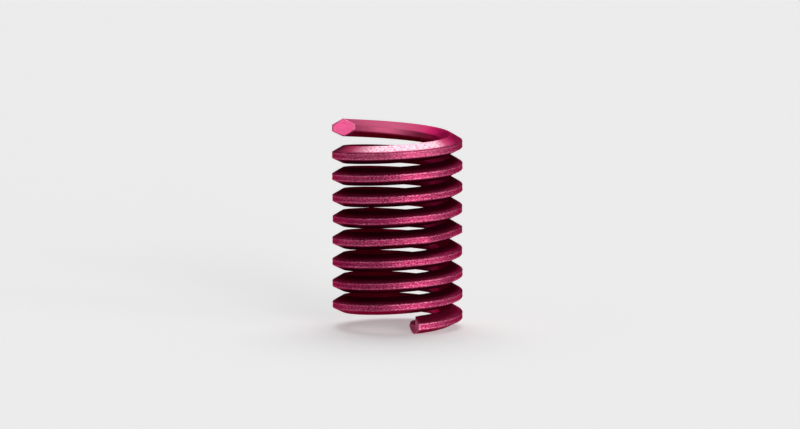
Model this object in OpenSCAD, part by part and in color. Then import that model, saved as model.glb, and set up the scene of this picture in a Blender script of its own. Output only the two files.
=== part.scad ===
// Wire thread insert: one right-hand coil of diamond-section wire, shown as it sits in a tapped hole.
// A six-sided grip turn is at the middle of its length, its driving tang is broken off, and its top turn
// has sprung up.
// The coil's axis is Z and its lowest point is at z = 0.

/* [Thread] */
// Nominal diameter of the bolt that the inner thread takes
bolt_d = 6.35; // [5:0.05:10]
// Rise of the coil in one turn
pitch = 1.27; // [1:0.01:1.75]
// Angle between the two flanks of the thread
thread_angle = 60; // [50:1:65]

/* [Wire] */
// Clear gap left between neighbouring turns
turn_gap = 0.22; // [0.1:0.01:0.4]
// Width of the flat that bears on the tapped hole
outer_flat = 0.31; // [0.15:0.01:0.45]
// Width of the flat that faces the bolt
inner_flat = 0.32; // [0.15:0.01:0.45]
// Width of the flats at the wire's tallest place, along the radius
waist_flat = 0.09; // [0.04:0.01:0.2]
// Radius that eases the edges of the outer and inner flats
edge_round = 0.07; // [0.02:0.01:0.11]

/* [Coil] */
// Number of turns from end to end
turns = 8.72; // [3:0.01:10]
// Where the lower end lies round the axis, from +X
lower_end_angle = -71.4; // [-180:0.1:180]

/* [Upper end] */
// How far the tip of the upper end has sprung above its place in the even coil
end_lift = 0.33; // [0:0.01:0.6]
// Angle of the top turn along which it springs up
lift_span = 280; // [90:5:360]

/* [Grip turn] */
// Number of flattened sides on the turn that grips the bolt
grip_sides = 6; // [3:1:8]
// How far the middle of each side stands inside the round turns
grip_depth = 0.25; // [0:0.01:0.4]

/* [Smoothness] */
// Straight steps that make up each turn
steps_per_turn = 42; // [24:6:48]

/* [Hidden] */
dyed_steel = [0.72, 0.12, 0.30];

wire_h = pitch - turn_gap;
flank_slope = tan(thread_angle / 2);
outer_reach = (wire_h - outer_flat) / 2 / flank_slope;
inner_reach = (wire_h - inner_flat) / 2 / flank_slope;
half_sweep = turns * 360 / 2;
step_angle = 360 / steps_per_turn;
whole_steps = ceil(half_sweep / step_angle) - 1;

// Corners of the wire's section, as [distance out from the waist, height above the wire's centre]
section_corners = [
    [waist_flat / 2 + outer_reach, -outer_flat / 2],
    [waist_flat / 2 + outer_reach, outer_flat / 2],
    [waist_flat / 2, wire_h / 2],
    [-waist_flat / 2, wire_h / 2],
    [-waist_flat / 2 - inner_reach, inner_flat / 2],
    [-waist_flat / 2 - inner_reach, -inner_flat / 2],
    [-waist_flat / 2, -wire_h / 2],
    [waist_flat / 2, -wire_h / 2]
];
flat_corners = [0, 1, 4, 5];

// A point the given distance from one corner towards another
function towards(from, to, distance) = from + (to - from) / norm(to - from) * distance;

// The section with each edge of a flat eased by two points, where a round of edge_round would meet its sides
function wire_section() = let (
    count = len(section_corners),
    ease = edge_round * tan((90 - thread_angle / 2) / 2)
) [
    for (i = [0:count - 1]) let (
        corner = section_corners[i],
        before = section_corners[(i + count - 1) % count],
        after = section_corners[(i + 1) % count]
    )
    each len(search(i, flat_corners)) > 0
        ? [towards(corner, before, ease), towards(corner, after, ease)]
        : [corner]
];

// How far the coil is drawn in at an angle measured along it from its middle:
// nothing at the corners of the grip turn, and grip_depth at the middle of each side
function drawn_in(angle) = let (
    side = 360 / grip_sides,
    off_middle = (angle + 180) % side - side / 2,
    corner_cos = cos(side / 2)
) abs(angle) >= 180 ? 0 : grip_depth * (cos(off_middle) - corner_cos) / (1 - corner_cos);

// How far the coil has sprung up at an angle along it, with a slope that grows evenly towards the upper end
function sprung_up(angle) = end_lift * pow(max(0, 1 - (half_sweep - angle) / lift_span), 2);

// Angles along the coil from its middle, ending exactly at the two cut ends
function stations() = [
    -half_sweep,
    for (i = [-whole_steps:whole_steps]) i * step_angle,
    half_sweep
];

// One ring of points round the wire at an angle along the coil
function ring(section, angle) = let (
    bearing = lower_end_angle + half_sweep + angle,
    radius = bolt_d / 2 - drawn_in(angle),
    height = wire_h / 2 + pitch * (angle + half_sweep) / 360 + sprung_up(angle)
) [
    for (point = section) [
        (radius + point.x) * cos(bearing),
        (radius + point.x) * sin(bearing),
        height + point.y
    ]
];

// Carries the section along the coil and closes both ends square
module swept_wire(section, angles) {
    sides = len(section);
    last = (len(angles) - 1) * sides;
    points = [for (angle = angles) each ring(section, angle)];
    skin = [
        for (i = [0:len(angles) - 2], j = [0:sides - 1]) let (
            here = i * sides,
            next = here + sides,
            k = (j + 1) % sides
        )
        each [[here + j, here + k, next + k], [here + j, next + k, next + j]]
    ];
    lower_end = [for (j = [sides - 1:-1:0]) j];
    upper_end = [for (j = [0:sides - 1]) last + j];
    polyhedron(points = points, faces = concat(skin, [lower_end, upper_end]), convexity = 12);
}

module wire_coil() {
    color(dyed_steel) swept_wire(wire_section(), stations());
}

wire_coil();
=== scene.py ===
import math

import bpy
import numpy as np
from mathutils import Matrix, Vector


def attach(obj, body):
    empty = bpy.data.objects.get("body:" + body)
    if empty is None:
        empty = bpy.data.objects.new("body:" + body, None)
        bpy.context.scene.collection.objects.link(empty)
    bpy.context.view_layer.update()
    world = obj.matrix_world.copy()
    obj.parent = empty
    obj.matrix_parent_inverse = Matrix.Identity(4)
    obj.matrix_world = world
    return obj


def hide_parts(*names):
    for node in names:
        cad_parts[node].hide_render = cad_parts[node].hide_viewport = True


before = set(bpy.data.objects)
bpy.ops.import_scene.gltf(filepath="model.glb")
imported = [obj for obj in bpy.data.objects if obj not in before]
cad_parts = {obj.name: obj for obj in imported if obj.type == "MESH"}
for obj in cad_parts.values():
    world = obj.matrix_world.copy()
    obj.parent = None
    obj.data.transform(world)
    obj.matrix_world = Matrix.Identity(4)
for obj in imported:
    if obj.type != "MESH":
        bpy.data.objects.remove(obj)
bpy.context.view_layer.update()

MM = 0.001

# The coil, in mm and degrees, as in the part's source
BOLT_D = 6.35
PITCH = 1.27
THREAD_ANGLE = 60
TURN_GAP = 0.22
OUTER_FLAT = 0.31
INNER_FLAT = 0.32
WAIST_FLAT = 0.09
TURNS = 8.72
LOWER_END_ANGLE = -71.4
END_LIFT = 0.33
LIFT_SPAN = 280
GRIP_SIDES = 6
GRIP_DEPTH = 0.25
WIRE_H = PITCH - TURN_GAP
HALF_SWEEP = TURNS * 180

# The visible section: the land's edges above and below the wire's middle, and the corners' radii (mm)
LAND_TOP = 0.150
LAND_BOTTOM = 0.225
LAND_EDGE_ROUND = 0.08
INNER_EDGE_ROUND = 0.07
TOP_ROUND = 0.168
UNDER_ROUND = 0.195

# The section's corners, from the land's lower edge on, with their steps and those of the side after each
CORNER_ROUNDS = (LAND_EDGE_ROUND, LAND_EDGE_ROUND, TOP_ROUND, INNER_EDGE_ROUND, INNER_EDGE_ROUND, UNDER_ROUND)
CORNER_STEPS = (4, 4, 5, 4, 4, 5)
SIDE_STEPS = (8, 6, 6, 5, 6, 6)

# The mesh: stations along a turn, the angle from which an edge is sharp (degrees), and its UV map's name
STATIONS_PER_TURN = 168
SHARP_ANGLE = 60
WIRE_UV = "wire_uv"

# Relief of the skin (mm), with the mean and the spread of the lips as shares of their height
LAND_FADE = 0.02
LAND_ROUGHNESS = 0.0035
LAND_HOLLOW = 0.006
HOLLOW_REACH = 0.15
LIP_HEIGHT = 0.007
LIP_MEAN = 0.6
LIP_SPREAD = 0.5
LIP_WIDTH = 0.040
LIP_INSET = 0.045
LIP_DROP = 0.07
LINE_DEPTH = 0.0012

# Wander of the coil, inward and up (mm), which fades out towards the ends (degrees)
WANDER_IN = 0.014
WANDER_UP = 0.007
WANDER_FADE = 90

# How far each noise reaches, in steps along the wire and across it
LIP_NOISE = (2.0, 0)
LAND_NOISE = (0.7, 0.6)
LINE_NOISE = (40, 0.7)
WANDER_NOISE = (60, 0)
SKIN_SEED = 7

# Small dents: turns up from the lower end, then in mm the height from the wire's middle, the reach along the
# wire and across it, and the depth
DENTS = [
    (8.16, 0.30, 0.16, 0.07, 0.030),
    (7.93, 0.22, 0.10, 0.05, 0.014),
    (7.71, 0.38, 0.13, 0.05, 0.016),
    (6.99, -0.14, 0.09, 0.05, 0.016),
    (5.06, 0.12, 0.12, 0.05, 0.015),
    (3.12, -0.12, 0.10, 0.05, 0.018),
    (2.10, 0.02, 0.08, 0.04, 0.014),
    (1.11, 0.05, 0.10, 0.05, 0.024),
    (0.92, -0.13, 0.10, 0.05, 0.020),
    (4.43, 0.10, 0.14, 0.05, 0.016),
    (6.52, -0.12, 0.12, 0.06, 0.016),
]

# The cut ends: their chamfer (mm) and the share that it takes off, the rings on their faces as shares of the
# edge, the roughness there (mm), and its waves and how fast they change (radians a mm)
CUT_CHAMFER = 0.03
CUT_SHRINK = 0.06
CUT_RINGS = (0.86, 0.68, 0.48, 0.26, 0)
CUT_ROUGHNESS = 0.012
CUT_WAVES = 6
CUT_WAVE_PACE = 16
CUT_SEED = 11

# In the pairs below, a value is 0 at the first place and 1 at the second

# The break at the lower end (mm): a stub that stands out and a step that is missing, across the wire and up
STUB_LENGTH = 0.15
STUB_ACROSS = (0.35, -0.25)
STUB_UP = (0.20, -0.05)
STEP_DEPTH = 0.28
STEP_ACROSS = (0.06, -0.06)
STEP_UP = (0.15, 0.23)
BREAK_REACH = (0.5, 0)

# Where the finish and the painted light and shade change on the section (mm), the depths being measured
# in from the land
TORN_DEPTH = (0.20, 0.02)
TORN_UNDER = 0.02
UNDER_DROP = (0, 0.06)
GROOVE_DEPTH = (0.04, 0.32)
GROOVE_END = -0.05
RUB_AND_HIGHLIGHT_UP = (0.17, 0.23)
RUB_AND_HIGHLIGHT_ON_LAND = 0.2
BARE_UP = (-0.20, -0.14)
RIM_AND_GLINT_REACH = (0.11, 0)

# Where the finish and the painted light and shade change along the coil, in turns up from the lower end
RUB_AND_HIGHLIGHT_BEGINS = (7.70, 7.89)
RUB_AND_HIGHLIGHT_ENDS = (8.14, 8.06)
BARE_BEGINS = (8.32, 8.44)
# Where the painted shade of the grooves is left off: at the lower end, lit from above, and where no turn lies
# below or above
LIT_LOWER_END = (0.34, 0.24)
NO_TURN_BELOW = (1.02, 0.96)
NO_TURN_ABOVE = (TURNS - 1.02, TURNS - 0.96)

# Painted shade in places on the land: turns up from the lower end, reach in turns, amount
PAINTED_SHADE_PLACES = [(4.87, 0.10, 0.80), (2.84, 0.07, 0.60), (1.84, 0.07, 0.55), (1.04, 0.04, 0.60)]


# Helpers

def ramp(value, zero_at, one_at):
    """0 at one place and 1 at another, even between them and held beyond them."""
    return np.clip((value - zero_at) / (one_at - zero_at), 0, 1)


def smooth_noise(rng, shape, reach):
    """Random values of unit spread, averaged over a bell of this reach in steps each way.

    The average is taken by scaling the field's frequencies, so both ways close on themselves.
    """
    field = rng.standard_normal(shape)
    rows = np.fft.fftfreq(shape[0])[:, None]
    columns = np.fft.fftfreq(shape[1])[None]
    bell = np.exp(-2 * math.pi ** 2 * ((rows * reach[0]) ** 2 + (columns * reach[1]) ** 2))
    smooth = np.fft.ifft2(np.fft.fft2(field) * bell).real
    return smooth / smooth.std()


# The wire's section

def section_corners():
    """The section's six corners as (out from the waist, up).

    They are the two of each flat, and the top and bottom, where the flanks of the inner and the outer half
    would meet. The outer flat is a little wider than the part's, as its lower edge is pressed down.
    """
    slope = math.tan(math.radians(THREAD_ANGLE / 2))
    outer = WAIST_FLAT / 2 + (WIRE_H - OUTER_FLAT) / 2 / slope
    inner = WAIST_FLAT / 2 + (WIRE_H - INNER_FLAT) / 2 / slope
    peak = WIRE_H / 2 + WAIST_FLAT / 2 * slope
    return np.array([
        [outer, -LAND_BOTTOM],
        [outer, LAND_TOP],
        [0, peak],
        [-inner, INNER_FLAT / 2],
        [-inner, -INNER_FLAT / 2],
        [0, -peak],
    ])


def corner_arc(corner, before, after, radius, steps):
    """A rounded corner's points and outward normals, between sides that face the ways before and after.

    The arc's centre lies on the corner's bisector, where a circle of this radius touches both sides.
    """
    turn = math.acos(before @ after)
    middle = (before + after) / np.linalg.norm(before + after)
    centre = corner - middle * radius / math.cos(turn / 2)
    heading = math.atan2(before[1], before[0]) + np.linspace(0, turn, steps + 1)
    normals = np.c_[np.cos(heading), np.sin(heading)]
    return centre + radius * normals, normals


def wire_section():
    """Points round the section, their outward normals, and the distance run round it at each.

    Each corner is an arc, and the straight run to the next arc is cut into equal steps. The first point is
    where the lower outer flank ends and the rounded lower edge of the land begins.
    """
    corners = section_corners()
    sides = np.roll(corners, -1, axis=0) - corners
    sides /= np.linalg.norm(sides, axis=1)[:, None]
    after = np.c_[sides[:, 1], -sides[:, 0]]
    before = np.roll(after, 1, axis=0)
    arcs = [corner_arc(*values) for values in zip(corners, before, after, CORNER_ROUNDS, CORNER_STEPS)]
    points, normals = [], []
    for (arc, facing), (next_arc, _), steps in zip(arcs, arcs[1:] + arcs[:1], SIDE_STEPS):
        way = (np.arange(1, steps) / steps)[:, None]
        points += [arc, arc[-1] + (next_arc[0] - arc[-1]) * way]
        normals += [facing, np.repeat(facing[-1:], steps - 1, axis=0)]
    points, normals = np.concatenate(points), np.concatenate(normals)
    step = np.linalg.norm(np.roll(points, -1, axis=0) - points, axis=1)
    return points, normals, np.r_[0, np.cumsum(step)]


# The coil's line

def coil_stations():
    """Angles along the coil from its middle: even steps, and two short ones at each end for its chamfer."""
    inner = HALF_SWEEP - math.degrees(CUT_CHAMFER / (BOLT_D / 2))
    even = np.linspace(-inner, inner, int(TURNS * STATIONS_PER_TURN))
    middle = (inner + HALF_SWEEP) / 2
    return np.r_[-HALF_SWEEP, -middle, even, middle, HALF_SWEEP]


def drawn_in(angle):
    """How far the grip turn, half a turn each way from the coil's middle, stands inside the round turns.

    It is a cosine over each side, scaled to be nothing at the corners and GRIP_DEPTH at the side's middle.
    """
    side = 360 / GRIP_SIDES
    off_middle = np.mod(angle + 180, side) - side / 2
    corner_cos = math.cos(math.radians(side / 2))
    depth = GRIP_DEPTH * (np.cos(np.radians(off_middle)) - corner_cos) / (1 - corner_cos)
    return np.where(np.abs(angle) >= 180, 0, depth)


def sprung_up(angle):
    """The top turn's lift, which grows as the square of the way along LIFT_SPAN."""
    return END_LIFT * np.clip(1 - (HALF_SWEEP - angle) / LIFT_SPAN, 0, None) ** 2


def mm_along(angle):
    """The way along the wire from its lower end."""
    return np.radians(angle + HALF_SWEEP) * BOLT_D / 2


def mm_from_end(angle):
    """The way along the wire to the nearer cut end."""
    return mm_along(-np.abs(angle))


# The wire's skin

def land_and_lips(points):
    """Over the section: 1 on the outer land, and a bell over each of the two lips just inside its edges."""
    out, up = points.T
    reach = out.max()
    land = ramp(out, reach - LAND_FADE, reach)
    from_lip = np.minimum(np.abs(up - LAND_TOP + LIP_INSET), np.abs(up + LAND_BOTTOM - LIP_INSET))
    return land, np.exp(-(from_lip / LIP_WIDTH) ** 2) * (out > reach - LIP_DROP)


def wire_masks(points, angle):
    """Where the finish changes, as values from 0 to 1 over stations and section.

    torn: the outer land and what borders it above, where the skin is pitted. lip: the two lips along it.
    under: all below the land, which takes painted shade. groove: painted shade in the depth between two
    turns, but none where no turn lies beyond, or where the lower end is lit from above. rub: the rubbed upper
    flank of the top turn, with a little of the land under it, which also takes a painted highlight. bare: the
    inner side
    of the upper end. deep: places on the land that take painted shade. rim: the skin next to the cut ends,
    whose dye is worn pale and which takes a painted glint.
    """
    out, up = points.T
    depth = out.max() - out
    turn = ((angle + HALF_SWEEP) / 360)[:, None]
    torn = ramp(depth, *TORN_DEPTH) * (up > -LAND_BOTTOM - TORN_UNDER)
    open_above = (ramp(turn, *NO_TURN_ABOVE) + ramp(turn, *LIT_LOWER_END)) * (up > 0)
    open_below = ramp(turn, *NO_TURN_BELOW) * (up < 0)
    groove_shade = ramp(depth, *GROOVE_DEPTH) * (out > GROOVE_END)
    rubbed_and_lit = np.maximum(ramp(up, *RUB_AND_HIGHLIGHT_UP) * (out > 0), RUB_AND_HIGHLIGHT_ON_LAND * torn)
    painted_shade_spots = sum(amount * np.exp(-((turn - at) / reach) ** 2) for at, reach, amount in PAINTED_SHADE_PLACES)
    masks = {
        "torn": torn,
        "lip": land_and_lips(points)[1],
        "under": ramp(-up - LAND_BOTTOM, *UNDER_DROP),
        "groove_shade": groove_shade * (1 - open_above) * (1 - open_below),
        "rub_and_highlight": ramp(turn, *RUB_AND_HIGHLIGHT_BEGINS) * ramp(turn, *RUB_AND_HIGHLIGHT_ENDS) * rubbed_and_lit,
        "bare": ramp(turn, *BARE_BEGINS) * ramp(up, *BARE_UP) * (out < 0),
        "painted_shade_spots": painted_shade_spots * torn,
        "rim_and_glint": ramp(mm_from_end(angle), *RIM_AND_GLINT_REACH)[:, None],
    }
    return {name: np.broadcast_to(mask, (len(angle), len(points))) for name, mask in masks.items()}


def wire_relief(points, angle, rng):
    """How far the skin stands out along the section's normals, over stations and section.

    The lips are bells across the land, uneven by noise. The land is hollowed by a parabola and roughened by
    noise. The drawing lines beside it are noise that reaches far along the wire. Each dent is a bell both
    ways.
    """
    land, lips = land_and_lips(points)
    out, up = points.T
    shape = (len(angle), len(points))
    relief = LIP_HEIGHT * lips * (LIP_MEAN + LIP_SPREAD * smooth_noise(rng, shape, LIP_NOISE))
    land_middle = (LAND_TOP - LAND_BOTTOM) / 2
    relief -= LAND_HOLLOW * land * np.clip(1 - ((up - land_middle) / HOLLOW_REACH) ** 2, 0, 1)
    relief += LAND_ROUGHNESS * land * smooth_noise(rng, shape, LAND_NOISE)
    relief += LINE_DEPTH * (1 - land) * smooth_noise(rng, shape, LINE_NOISE)
    for turns_up, level, reach_along, reach_across, depth in DENTS:
        off_along = (mm_along(angle) - turns_up * math.pi * BOLT_D)[:, None] / reach_along
        off_across = (up - level) / reach_across
        relief -= depth * np.exp(-off_along ** 2 - off_across ** 2) * (out > 0)
    return relief


def broken_end(points, angle):
    """How far the lower end reaches beyond a flat cut, over stations and section.

    The tang tore off with a step: on the wire's inner side the lower part stands out and the upper part is
    missing.
    """
    out, up = points.T
    stub = STUB_LENGTH * ramp(out, *STUB_ACROSS) * ramp(up, *STUB_UP)
    step = STEP_DEPTH * ramp(out, *STEP_ACROSS) * ramp(up, *STEP_UP)
    return ramp(mm_along(angle), *BREAK_REACH)[:, None] * (stub - step)


def coil_surface():
    """The skin as points over stations and section, its masks, and the ways round the section and along.

    The section, with its relief, is carried along the coil's line: its first measure adds to the line's
    radius and its second to the line's height. At the cut ends it shrinks by a quarter circle, which is
    their chamfer.
    """
    rng = np.random.default_rng(SKIN_SEED)
    points, normals, run = wire_section()
    angle = coil_stations()
    relief = wire_relief(points, angle, rng)
    wander = smooth_noise(rng, (len(angle), 2), WANDER_NOISE)
    into_chamfer = ramp(mm_from_end(angle), CUT_CHAMFER, 0)
    size = 1 - CUT_SHRINK * (1 - np.sqrt(1 - into_chamfer ** 2))
    section = (points + relief[:, :, None] * normals) * size[:, None, None]
    radius = BOLT_D / 2 - drawn_in(angle) - WANDER_IN * np.abs(wander[:, 0])
    sway = WANDER_UP * wander[:, 1] * ramp(HALF_SWEEP - np.abs(angle), 0, WANDER_FADE)
    rise = WIRE_H / 2 + PITCH * (angle + HALF_SWEEP) / 360 + sprung_up(angle) + sway
    heading = np.radians(LOWER_END_ANGLE + HALF_SWEEP + angle)[:, None]
    bearing = heading - broken_end(points, angle) / (BOLT_D / 2)
    out = radius[:, None] + section[:, :, 0]
    up = rise[:, None] + section[:, :, 1]
    skin = np.stack([out * np.cos(bearing), out * np.sin(bearing), up], axis=2)
    return skin, wire_masks(points, angle), run, mm_along(angle)


# The mesh

def skin_quads(grid):
    """The skin's faces, each from a point to the next station and then round the section, facing outwards."""
    beside = np.roll(grid, -1, axis=1)
    return np.stack([grid[:-1], grid[1:], beside[1:], beside[:-1]], axis=2).reshape(-1, 4)


def skin_uv(along, run):
    """The same faces' corners as mm along the wire and mm round its section."""
    u = np.stack([along[:-1], along[1:], along[1:], along[:-1]], axis=1)[:, None]
    v = np.stack([run[:-1], run[:-1], run[1:], run[1:]], axis=1)[None]
    return np.stack(np.broadcast_arrays(u, v), axis=3).reshape(-1, 4, 2)


def cut_end_points(edge, inside, rng):
    """Points of a cut end's face: its edge drawn towards its middle, ring by ring, down to one point.

    They lie up to CUT_ROUGHNESS below a flat cut, by the mean of a few waves over the face. inside is the
    station next to the edge, and gives the way that the face looks.
    """
    middle = edge.mean(0)
    outward = middle - inside.mean(0)
    outward /= np.linalg.norm(outward)
    rings = middle + (edge - middle) * np.array(CUT_RINGS)[:, None, None]
    waves = rng.uniform(-CUT_WAVE_PACE, CUT_WAVE_PACE, (CUT_WAVES, 3))
    phases = rng.uniform(0, 2 * math.pi, CUT_WAVES)
    torn = np.sin(rings @ waves.T + phases).mean(axis=2)
    rings -= (CUT_ROUGHNESS * (0.5 + 0.5 * torn))[:, :, None] * outward
    return np.concatenate([rings[:-1].reshape(-1, 3), rings[-1, :1]])


def cut_end_faces(edge, first, upper):
    """A cut end's quads, ring by ring inwards, and its fan to the middle point, all facing outwards.

    edge holds the skin's last points, and first is the number of the first point of the face.
    """
    sides, rings = len(edge), len(CUT_RINGS) - 1
    middle = first + sides * rings
    here = np.concatenate([edge, np.arange(first, middle)]).reshape(rings + 1, sides)
    beside = np.roll(here, -1, axis=1)
    if upper:
        here, beside = beside, here
    quads = np.stack([here[:-1], beside[:-1], beside[1:], here[1:]], axis=2).reshape(-1, 4)
    return quads, np.stack([here[-1], beside[-1], np.full(sides, middle)], axis=1)


def coil_shell():
    """The closed coil: its points in mm, its faces with their UV, and the skin's masks.

    The faces are three arrays: the skin's grid of quads, then the quads and the fans over the two cut ends.
    On the skin the UV is mm along and round the wire, and on the cut ends it is X and Z in mm.
    """
    rng = np.random.default_rng(CUT_SEED)
    skin, masks, run, along = coil_surface()
    stations, sides = skin.shape[:2]
    grid = np.arange(stations * sides).reshape(stations, sides)
    points, cut_quads, cut_fans = skin.reshape(-1, 3), [], []
    for end, inside in ((0, 1), (-1, -2)):
        quads, fan = cut_end_faces(grid[end], len(points), end == -1)
        cut_quads.append(quads)
        cut_fans.append(fan)
        points = np.concatenate([points, cut_end_points(skin[end], skin[inside], rng)])
    faces = [skin_quads(grid), np.concatenate(cut_quads), np.concatenate(cut_fans)]
    flat = points[:, [0, 2]]
    return points, faces, [skin_uv(along, run), flat[faces[1]], flat[faces[2]]], masks


def wire_coil_mesh():
    """The coil's mesh in metres, with its UV map and its masks. The cut ends have the second material."""
    points, faces, uv, masks = coil_shell()
    mesh = bpy.data.meshes.new("wire_coil_drawn")
    mesh.from_pydata((points * MM).tolist(), [], [face for part in faces for face in part.tolist()])
    corners = np.concatenate([part.reshape(-1, 2) for part in uv])
    mesh.uv_layers.new(name=WIRE_UV).data.foreach_set("uv", corners.ravel())
    for name, mask in masks.items():
        values = np.zeros(len(points))
        values[:mask.size] = mask.ravel()
        mesh.attributes.new(name, "FLOAT", "POINT").data.foreach_set("value", values)
    face_kinds = np.repeat([0, 1, 1], [len(part) for part in faces]).astype(np.int32)
    mesh.polygons.foreach_set("material_index", face_kinds)
    mesh.polygons.foreach_set("use_smooth", np.ones(len(face_kinds), bool))
    mesh.update()
    mesh.set_sharp_from_angle(angle=math.radians(SHARP_ANGLE))
    return mesh


# Finishes

CRIMSON = (0.64, 0.046, 0.172)
# A deeper crimson for uneven dye and drawing lines, and for painted shade in places on the land
DEEP_CRIMSON = (0.36, 0.014, 0.091)
# Near black, for the pits and for painted shade on the lower flanks and in the grooves
WINE = (0.07, 0.002, 0.020)
# Pale pinks for wear and rubbing, which also paint highlights and glints
WORN_AND_HIGHLIGHT_PINK = (0.90, 0.28, 0.44)
BARE_AND_HIGHLIGHT_PINK = (0.97, 0.80, 0.87)
SHEARED_PINK = (0.55, 0.090, 0.22)
SHEEN = (0.74, 0.08, 0.26)
PALE_GREY = (0.86, 0.86, 0.86)
WHITE = (1, 1, 1)

# Grains: size in mm, how many times longer they are along the wire, and the share that their specks cover.
# The pale gritty specks, which also paint glints, are moved aside (mm), so that they don't follow the others.
GRAINS = {
    "pits": (0.058, 1.9, 0.46),
    "lines": (0.05, 14.0, 0.45),
    "scuffs_and_highlights": (0.065, 2.6, 0.62),
    "clouds": (1.3, 1.6, 0.5),
    "wear_and_highlights": (0.085, 1.6, 0.50),
}
GRIT_AND_GLINTS = (0.062, 1.7, 0.40)
GRIT_AND_GLINTS_SHIFT = (7.3, 3.1, 0)
CUT_GRAIN = (0.14, 1.0, 0.5)

# How dyed the specks on the cut ends are
CUT_DYE = 0.5

# The grains' noise: its detail and roughness, the values that it lies between, and how its specks fade in
NOISE_DETAIL = 2.5
NOISE_ROUGHNESS = 0.6
NOISE_LOW = 0.32
NOISE_HIGH = 0.68
SPECK_FADE = 0.035

# Roughness and metal of the dyed and the bare wire and of its cut ends, and how deep their grains are
DYED_ROUGHNESS = 0.47
BARE_ROUGHNESS = 0.60
BARE_METAL = 0.5
CUT_METAL = 0.9
CUT_END_ROUGHNESS = 0.5
LINE_DENT = 0.18
SMOOTH_PIT_DENT = 0.08
TORN_PIT_DENT = 0.6
WIRE_DENT_MM = 0.045
CUT_DENT_MM = 0.02

# The floor: how much it glows where it is seen, its roughness and its sheen
FLOOR_GLOW = 0.33
FLOOR_ROUGHNESS = 0.9
FLOOR_SPECULAR = 0.1


def new_material(name):
    """A material with nodes, its tree and its Principled shader."""
    material = bpy.data.materials.new(name)
    material.use_nodes = True
    return material, material.node_tree, material.node_tree.nodes["Principled BSDF"]


def add(tree, kind, inputs=None, **settings):
    """A shader node with its settings, each named input set to a value or joined to another node's output."""
    made = tree.nodes.new("ShaderNode" + kind)
    for name, value in settings.items():
        setattr(made, name, value)
    for name, value in (inputs or {}).items():
        if isinstance(value, bpy.types.NodeSocket):
            tree.links.new(value, made.inputs[name])
        else:
            made.inputs[name].default_value = value
    return made


def times(tree, product, *others):
    """Values multiplied together."""
    for other in others:
        product = add(tree, "Math", {0: product, 1: other}, operation="MULTIPLY").outputs[0]
    return product


def spread(tree, value, low, high, to_low=0.0, to_high=1.0):
    """A value's range from low to high, stretched to another and held at its ends."""
    ends = {"From Min": low, "From Max": high, "To Min": to_low, "To Max": to_high}
    return add(tree, "MapRange", {"Value": value, **ends}).outputs["Result"]


def tint(tree, amount, under, over):
    """One colour laid over another by an amount from 0 to 1."""
    made = add(tree, "Mix", {0: amount}, data_type="RGBA")
    for index, value in ((6, under), (7, over)):
        if isinstance(value, bpy.types.NodeSocket):
            tree.links.new(value, made.inputs[index])
        else:
            made.inputs[index].default_value = (*value, 1)
    return made.outputs[2]


def dent(tree, shader, depth, mm):
    """The shader's normal, tilted as if the surface were dented by a depth of which 1 is this many mm."""
    made = add(tree, "Bump", {"Height": depth, "Strength": 1.0, "Distance": mm * MM}, invert=True)
    tree.links.new(made.outputs["Normal"], shader.inputs["Normal"])


def wire_grain_group():
    """Grain of a drawn and torn metal skin, made from noise on a map that is in mm.

    Its grains have a size in mm and may be longer along the wire. It gives a mask of its specks, where the
    noise is over a level that leaves about the wanted share, and the noise itself.
    """
    group = bpy.data.node_groups.new("wire_grain", "ShaderNodeTree")
    group.interface.new_socket("Vector", in_out="INPUT", socket_type="NodeSocketVector")
    for name, value in (("Size", 0.1), ("Stretch", 1.0), ("Coverage", 0.5)):
        socket = group.interface.new_socket(name, in_out="INPUT", socket_type="NodeSocketFloat")
        socket.default_value = value
    for name in ("Specks", "Noise"):
        group.interface.new_socket(name, in_out="OUTPUT", socket_type="NodeSocketFloat")
    inside = group.nodes.new("NodeGroupInput").outputs
    apart = add(group, "SeparateXYZ", {"Vector": inside["Vector"]}).outputs
    along = add(group, "Math", {0: apart["X"], 1: inside["Stretch"]}, operation="DIVIDE")
    place = add(group, "CombineXYZ", {"X": along.outputs[0], "Y": apart["Y"]})
    scale = add(group, "Math", {0: 1.0, 1: inside["Size"]}, operation="DIVIDE")
    looks = {"Detail": NOISE_DETAIL, "Roughness": NOISE_ROUGHNESS}
    noise = add(group, "TexNoise", {"Vector": place.outputs[0], "Scale": scale.outputs[0], **looks})
    level = spread(group, inside["Coverage"], 0, 1, NOISE_HIGH, NOISE_LOW)
    over = add(group, "Math", {0: noise.outputs["Fac"], 1: level}, operation="SUBTRACT")
    out = group.nodes.new("NodeGroupOutput").inputs
    group.links.new(spread(group, over.outputs[0], -SPECK_FADE, SPECK_FADE), out["Specks"])
    group.links.new(noise.outputs["Fac"], out["Noise"])
    return group


def grain(tree, group, vector, size, stretch, coverage):
    """The outputs of the grain group with these values."""
    made = tree.nodes.new("ShaderNodeGroup")
    made.node_tree = group
    tree.links.new(vector, made.inputs["Vector"])
    made.inputs["Size"].default_value = size
    made.inputs["Stretch"].default_value = stretch
    made.inputs["Coverage"].default_value = coverage
    return made.outputs


def read_masks(tree):
    """The masks that wire_masks gave the mesh, by their names."""
    names = ("torn", "lip", "under", "groove_shade", "rub_and_highlight", "bare", "painted_shade_spots", "rim_and_glint")
    return {name: add(tree, "Attribute", attribute_name=name).outputs["Fac"] for name in names}


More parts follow.
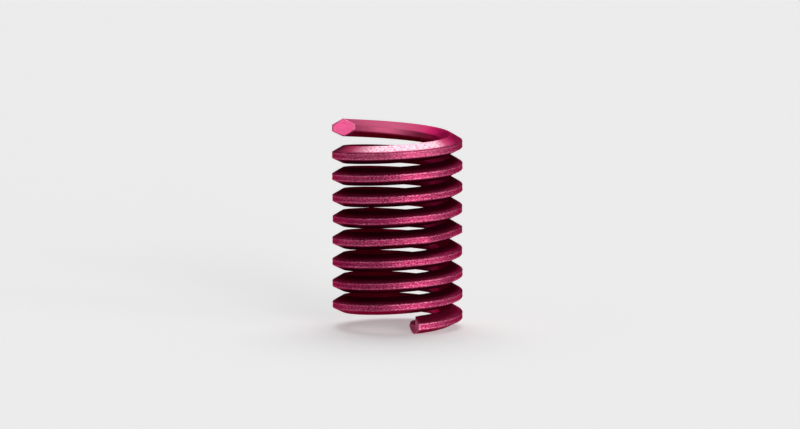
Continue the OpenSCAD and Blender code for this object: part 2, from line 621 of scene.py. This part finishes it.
def dye_colour(tree, grains, masks):
    """The dyed wire's colour: layers over crimson, each a colour and the amount of it over the surface."""
    specks = {name: outputs["Specks"] for name, outputs in grains.items()}
    cloud = grains["clouds"]["Noise"]
    torn, lip, rub_and_highlight = masks["torn"], masks["lip"], masks["rub_and_highlight"]
    layers = [
        # Dye that lies unevenly, and deeper in the drawing lines
        (spread(tree, cloud, 0.35, 0.65, 0.0, 0.45), DEEP_CRIMSON),
        (times(tree, specks["lines"], spread(tree, torn, 0, 1, 0.30, 0.45)), DEEP_CRIMSON),
        # Painted shade on the lower flanks and in the grooves
        (times(tree, masks["under"], 0.60), WINE),
        (times(tree, masks["groove_shade"], 0.85), WINE),
        # The torn land: pale gritty specks that also paint glints, painted shade in places, and dark pits
        (times(tree, specks["grit"], torn, spread(tree, lip, 0, 1, 0.36, 0.70)), WORN_AND_HIGHLIGHT_PINK),
        (masks["painted_shade_spots"], DEEP_CRIMSON),
        (times(tree, specks["pits"], torn, spread(tree, cloud, 0.38, 0.62, 0.55, 0.80)), WINE),
        # Worn dye with painted highlights on the lips, and with a painted highlight on the rubbed flank; a
        # paler tint on the upper end's inner side; worn dye with a painted glint at the cut ends' edges
        (times(tree, specks["wear_and_highlights"], lip, spread(tree, cloud, 0.35, 0.55, 1.0, 0.35), 0.95), WORN_AND_HIGHLIGHT_PINK),
        (times(tree, rub_and_highlight, 0.6), WORN_AND_HIGHLIGHT_PINK),
        (times(tree, masks["bare"], 0.34), WORN_AND_HIGHLIGHT_PINK),
        (times(tree, masks["rim_and_glint"], 0.6), WORN_AND_HIGHLIGHT_PINK),
        # Scuffs down to the metal, and a painted highlight, where the rubbing is strongest
        (times(tree, specks["scuffs_and_highlights"], spread(tree, rub_and_highlight, 0.6, 1.0), 0.9), BARE_AND_HIGHLIGHT_PINK),
    ]
    colour = CRIMSON
    for amount, over in layers:
        colour = tint(tree, amount, colour, over)
    return colour


def dyed_wire_material(group):
    """Dyed steel wire: clear crimson, worn thin and with painted highlights on the lips and on the top turn's
    rubbed flank, with painted shade in the grooves, below the land and in places on it, and dark in the torn
    land's pits.
    """
    material, tree, shader = new_material("dyed_wire")
    wire = add(tree, "UVMap", uv_map=WIRE_UV).outputs["UV"]
    moved = add(tree, "VectorMath", {0: wire, 1: GRIT_AND_GLINTS_SHIFT}, operation="ADD").outputs[0]
    grains = {name: grain(tree, group, wire, *values) for name, values in GRAINS.items()}
    grains["grit"] = grain(tree, group, moved, *GRIT_AND_GLINTS)
    masks = read_masks(tree)
    tree.links.new(dye_colour(tree, grains, masks), shader.inputs["Base Color"])
    bare = masks["bare"]
    tree.links.new(spread(tree, bare, 0, 1, DYED_ROUGHNESS, BARE_ROUGHNESS), shader.inputs["Roughness"])
    tree.links.new(spread(tree, bare, 0, 1, 1.0, BARE_METAL), shader.inputs["Metallic"])
    shader.inputs["Specular Tint"].default_value = (*SHEEN, 1)

    pit_dent = spread(tree, masks["torn"], 0, 1, SMOOTH_PIT_DENT, TORN_PIT_DENT)
    pits = times(tree, grains["pits"]["Noise"], pit_dent)
    lines = times(tree, grains["lines"]["Noise"], LINE_DENT)
    dent(tree, shader, add(tree, "Math", {0: lines, 1: pits}, operation="ADD").outputs[0], WIRE_DENT_MM)
    return material


def cut_end_material(group):
    """The wire's cut ends: sheared metal with specks of the dye."""
    material, tree, shader = new_material("cut_end")
    face = add(tree, "UVMap", uv_map=WIRE_UV).outputs["UV"]
    torn = grain(tree, group, face, *CUT_GRAIN)
    colour = tint(tree, times(tree, torn["Specks"], CUT_DYE), SHEARED_PINK, CRIMSON)
    tree.links.new(colour, shader.inputs["Base Color"])
    shader.inputs["Roughness"].default_value = CUT_END_ROUGHNESS
    shader.inputs["Metallic"].default_value = CUT_METAL
    dent(tree, shader, torn["Noise"], CUT_DENT_MM)
    return material


def floor_material():
    """A pale matt floor. It keeps the shadow, and glows a little where the camera or a reflection sees it."""
    material, tree, shader = new_material("pale_floor")
    seen = add(tree, "LightPath").outputs
    direct = seen["Is Camera Ray"]
    for ray in ("Is Glossy Ray", "Is Transmission Ray"):
        direct = add(tree, "Math", {0: direct, 1: seen[ray]}, operation="MAXIMUM").outputs[0]
    tree.links.new(times(tree, direct, FLOOR_GLOW), shader.inputs["Emission Strength"])
    shader.inputs["Emission Color"].default_value = (*WHITE, 1)
    shader.inputs["Base Color"].default_value = (*PALE_GREY, 1)
    shader.inputs["Roughness"].default_value = FLOOR_ROUGHNESS
    shader.inputs["Specular IOR Level"].default_value = FLOOR_SPECULAR
    return material


# The scene, in metres and degrees

FLOOR_RADIUS = 2
FLOOR_SIDES = 96

CAMERA_TARGET = (0.000155, 0.0, 0.0067)
CAMERA_DISTANCE = 0.23
CAMERA_ELEVATION = 6.6
CAMERA_ROLL = -0.1
CAMERA_LENS_MM = 174.9
CAMERA_FRAME_MM = 36
CAMERA_CLIP = (0.02, 20)

# Name, direction towards the lamp, strength, width in degrees
LAMPS = [
    ("high_lamp", (0.04, 0.46, 0.95), 1.3, 55),
    ("front_lamp", (0.42, -0.90, 0.14), 1.9, 30),
    ("side_lamp", (0.82, -0.55, 0.14), 0.70, 28),
]
WORLD_LEVEL = 0.1


def place_wire_coil():
    """The coil, in place of the part's plain one."""
    mesh = wire_coil_mesh()
    coil = bpy.data.objects.new("wire_coil_drawn", mesh)
    bpy.context.scene.collection.objects.link(coil)
    group = wire_grain_group()
    mesh.materials.append(dyed_wire_material(group))
    mesh.materials.append(cut_end_material(group))
    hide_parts("wire_coil")
    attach(coil, "root")


def place_floor():
    """A plain disc, level with the coil's lowest point."""
    turn = np.linspace(0, 2 * math.pi, FLOOR_SIDES, endpoint=False)
    edge = FLOOR_RADIUS * np.c_[np.cos(turn), np.sin(turn), 0 * turn]
    mesh = bpy.data.meshes.new("floor")
    mesh.from_pydata(edge.tolist(), [], [list(range(FLOOR_SIDES))])
    mesh.materials.append(floor_material())
    floor = bpy.data.objects.new("floor", mesh)
    bpy.context.scene.collection.objects.link(floor)


def place_camera():
    """The photograph's camera: a few degrees above level, turned very slightly, and behind a long lens."""
    rise, roll = math.radians(CAMERA_ELEVATION), math.radians(CAMERA_ROLL)
    forward = Vector((0, math.cos(rise), -math.sin(rise)))
    right = Vector((1, 0, 0))
    up = right.cross(forward)
    across = right * math.cos(roll) + up * math.sin(roll)
    upright = up * math.cos(roll) - right * math.sin(roll)
    data = bpy.data.cameras.new("camera")
    data.lens = CAMERA_LENS_MM
    data.sensor_width = CAMERA_FRAME_MM
    data.clip_start, data.clip_end = CAMERA_CLIP
    camera = bpy.data.objects.new("camera", data)
    turn = Matrix((across, upright, -forward)).transposed().to_4x4()
    camera.matrix_world = Matrix.Translation(Vector(CAMERA_TARGET) - forward * CAMERA_DISTANCE) @ turn
    bpy.context.scene.collection.objects.link(camera)
    bpy.context.scene.camera = camera


def place_light():
    """Three broad lamps, one high and a little behind and two low on the front right, and a pale world."""
    for name, towards, energy, width in LAMPS:
        data = bpy.data.lights.new(name, "SUN")
        data.energy = energy
        data.angle = math.radians(width)
        lamp = bpy.data.objects.new(name, data)
        lamp.rotation_euler = Vector(towards).to_track_quat("Z", "Y").to_euler()
        bpy.context.scene.collection.objects.link(lamp)
    world = bpy.data.worlds.new("pale_world")
    world.use_nodes = True
    world.node_tree.nodes["Background"].inputs["Color"].default_value = (*WHITE, 1)
    world.node_tree.nodes["Background"].inputs["Strength"].default_value = WORLD_LEVEL
    bpy.context.scene.world = world


place_camera()
place_light()
place_floor()
place_wire_coil()
bpy.context.scene.view_settings.view_transform = "Standard"
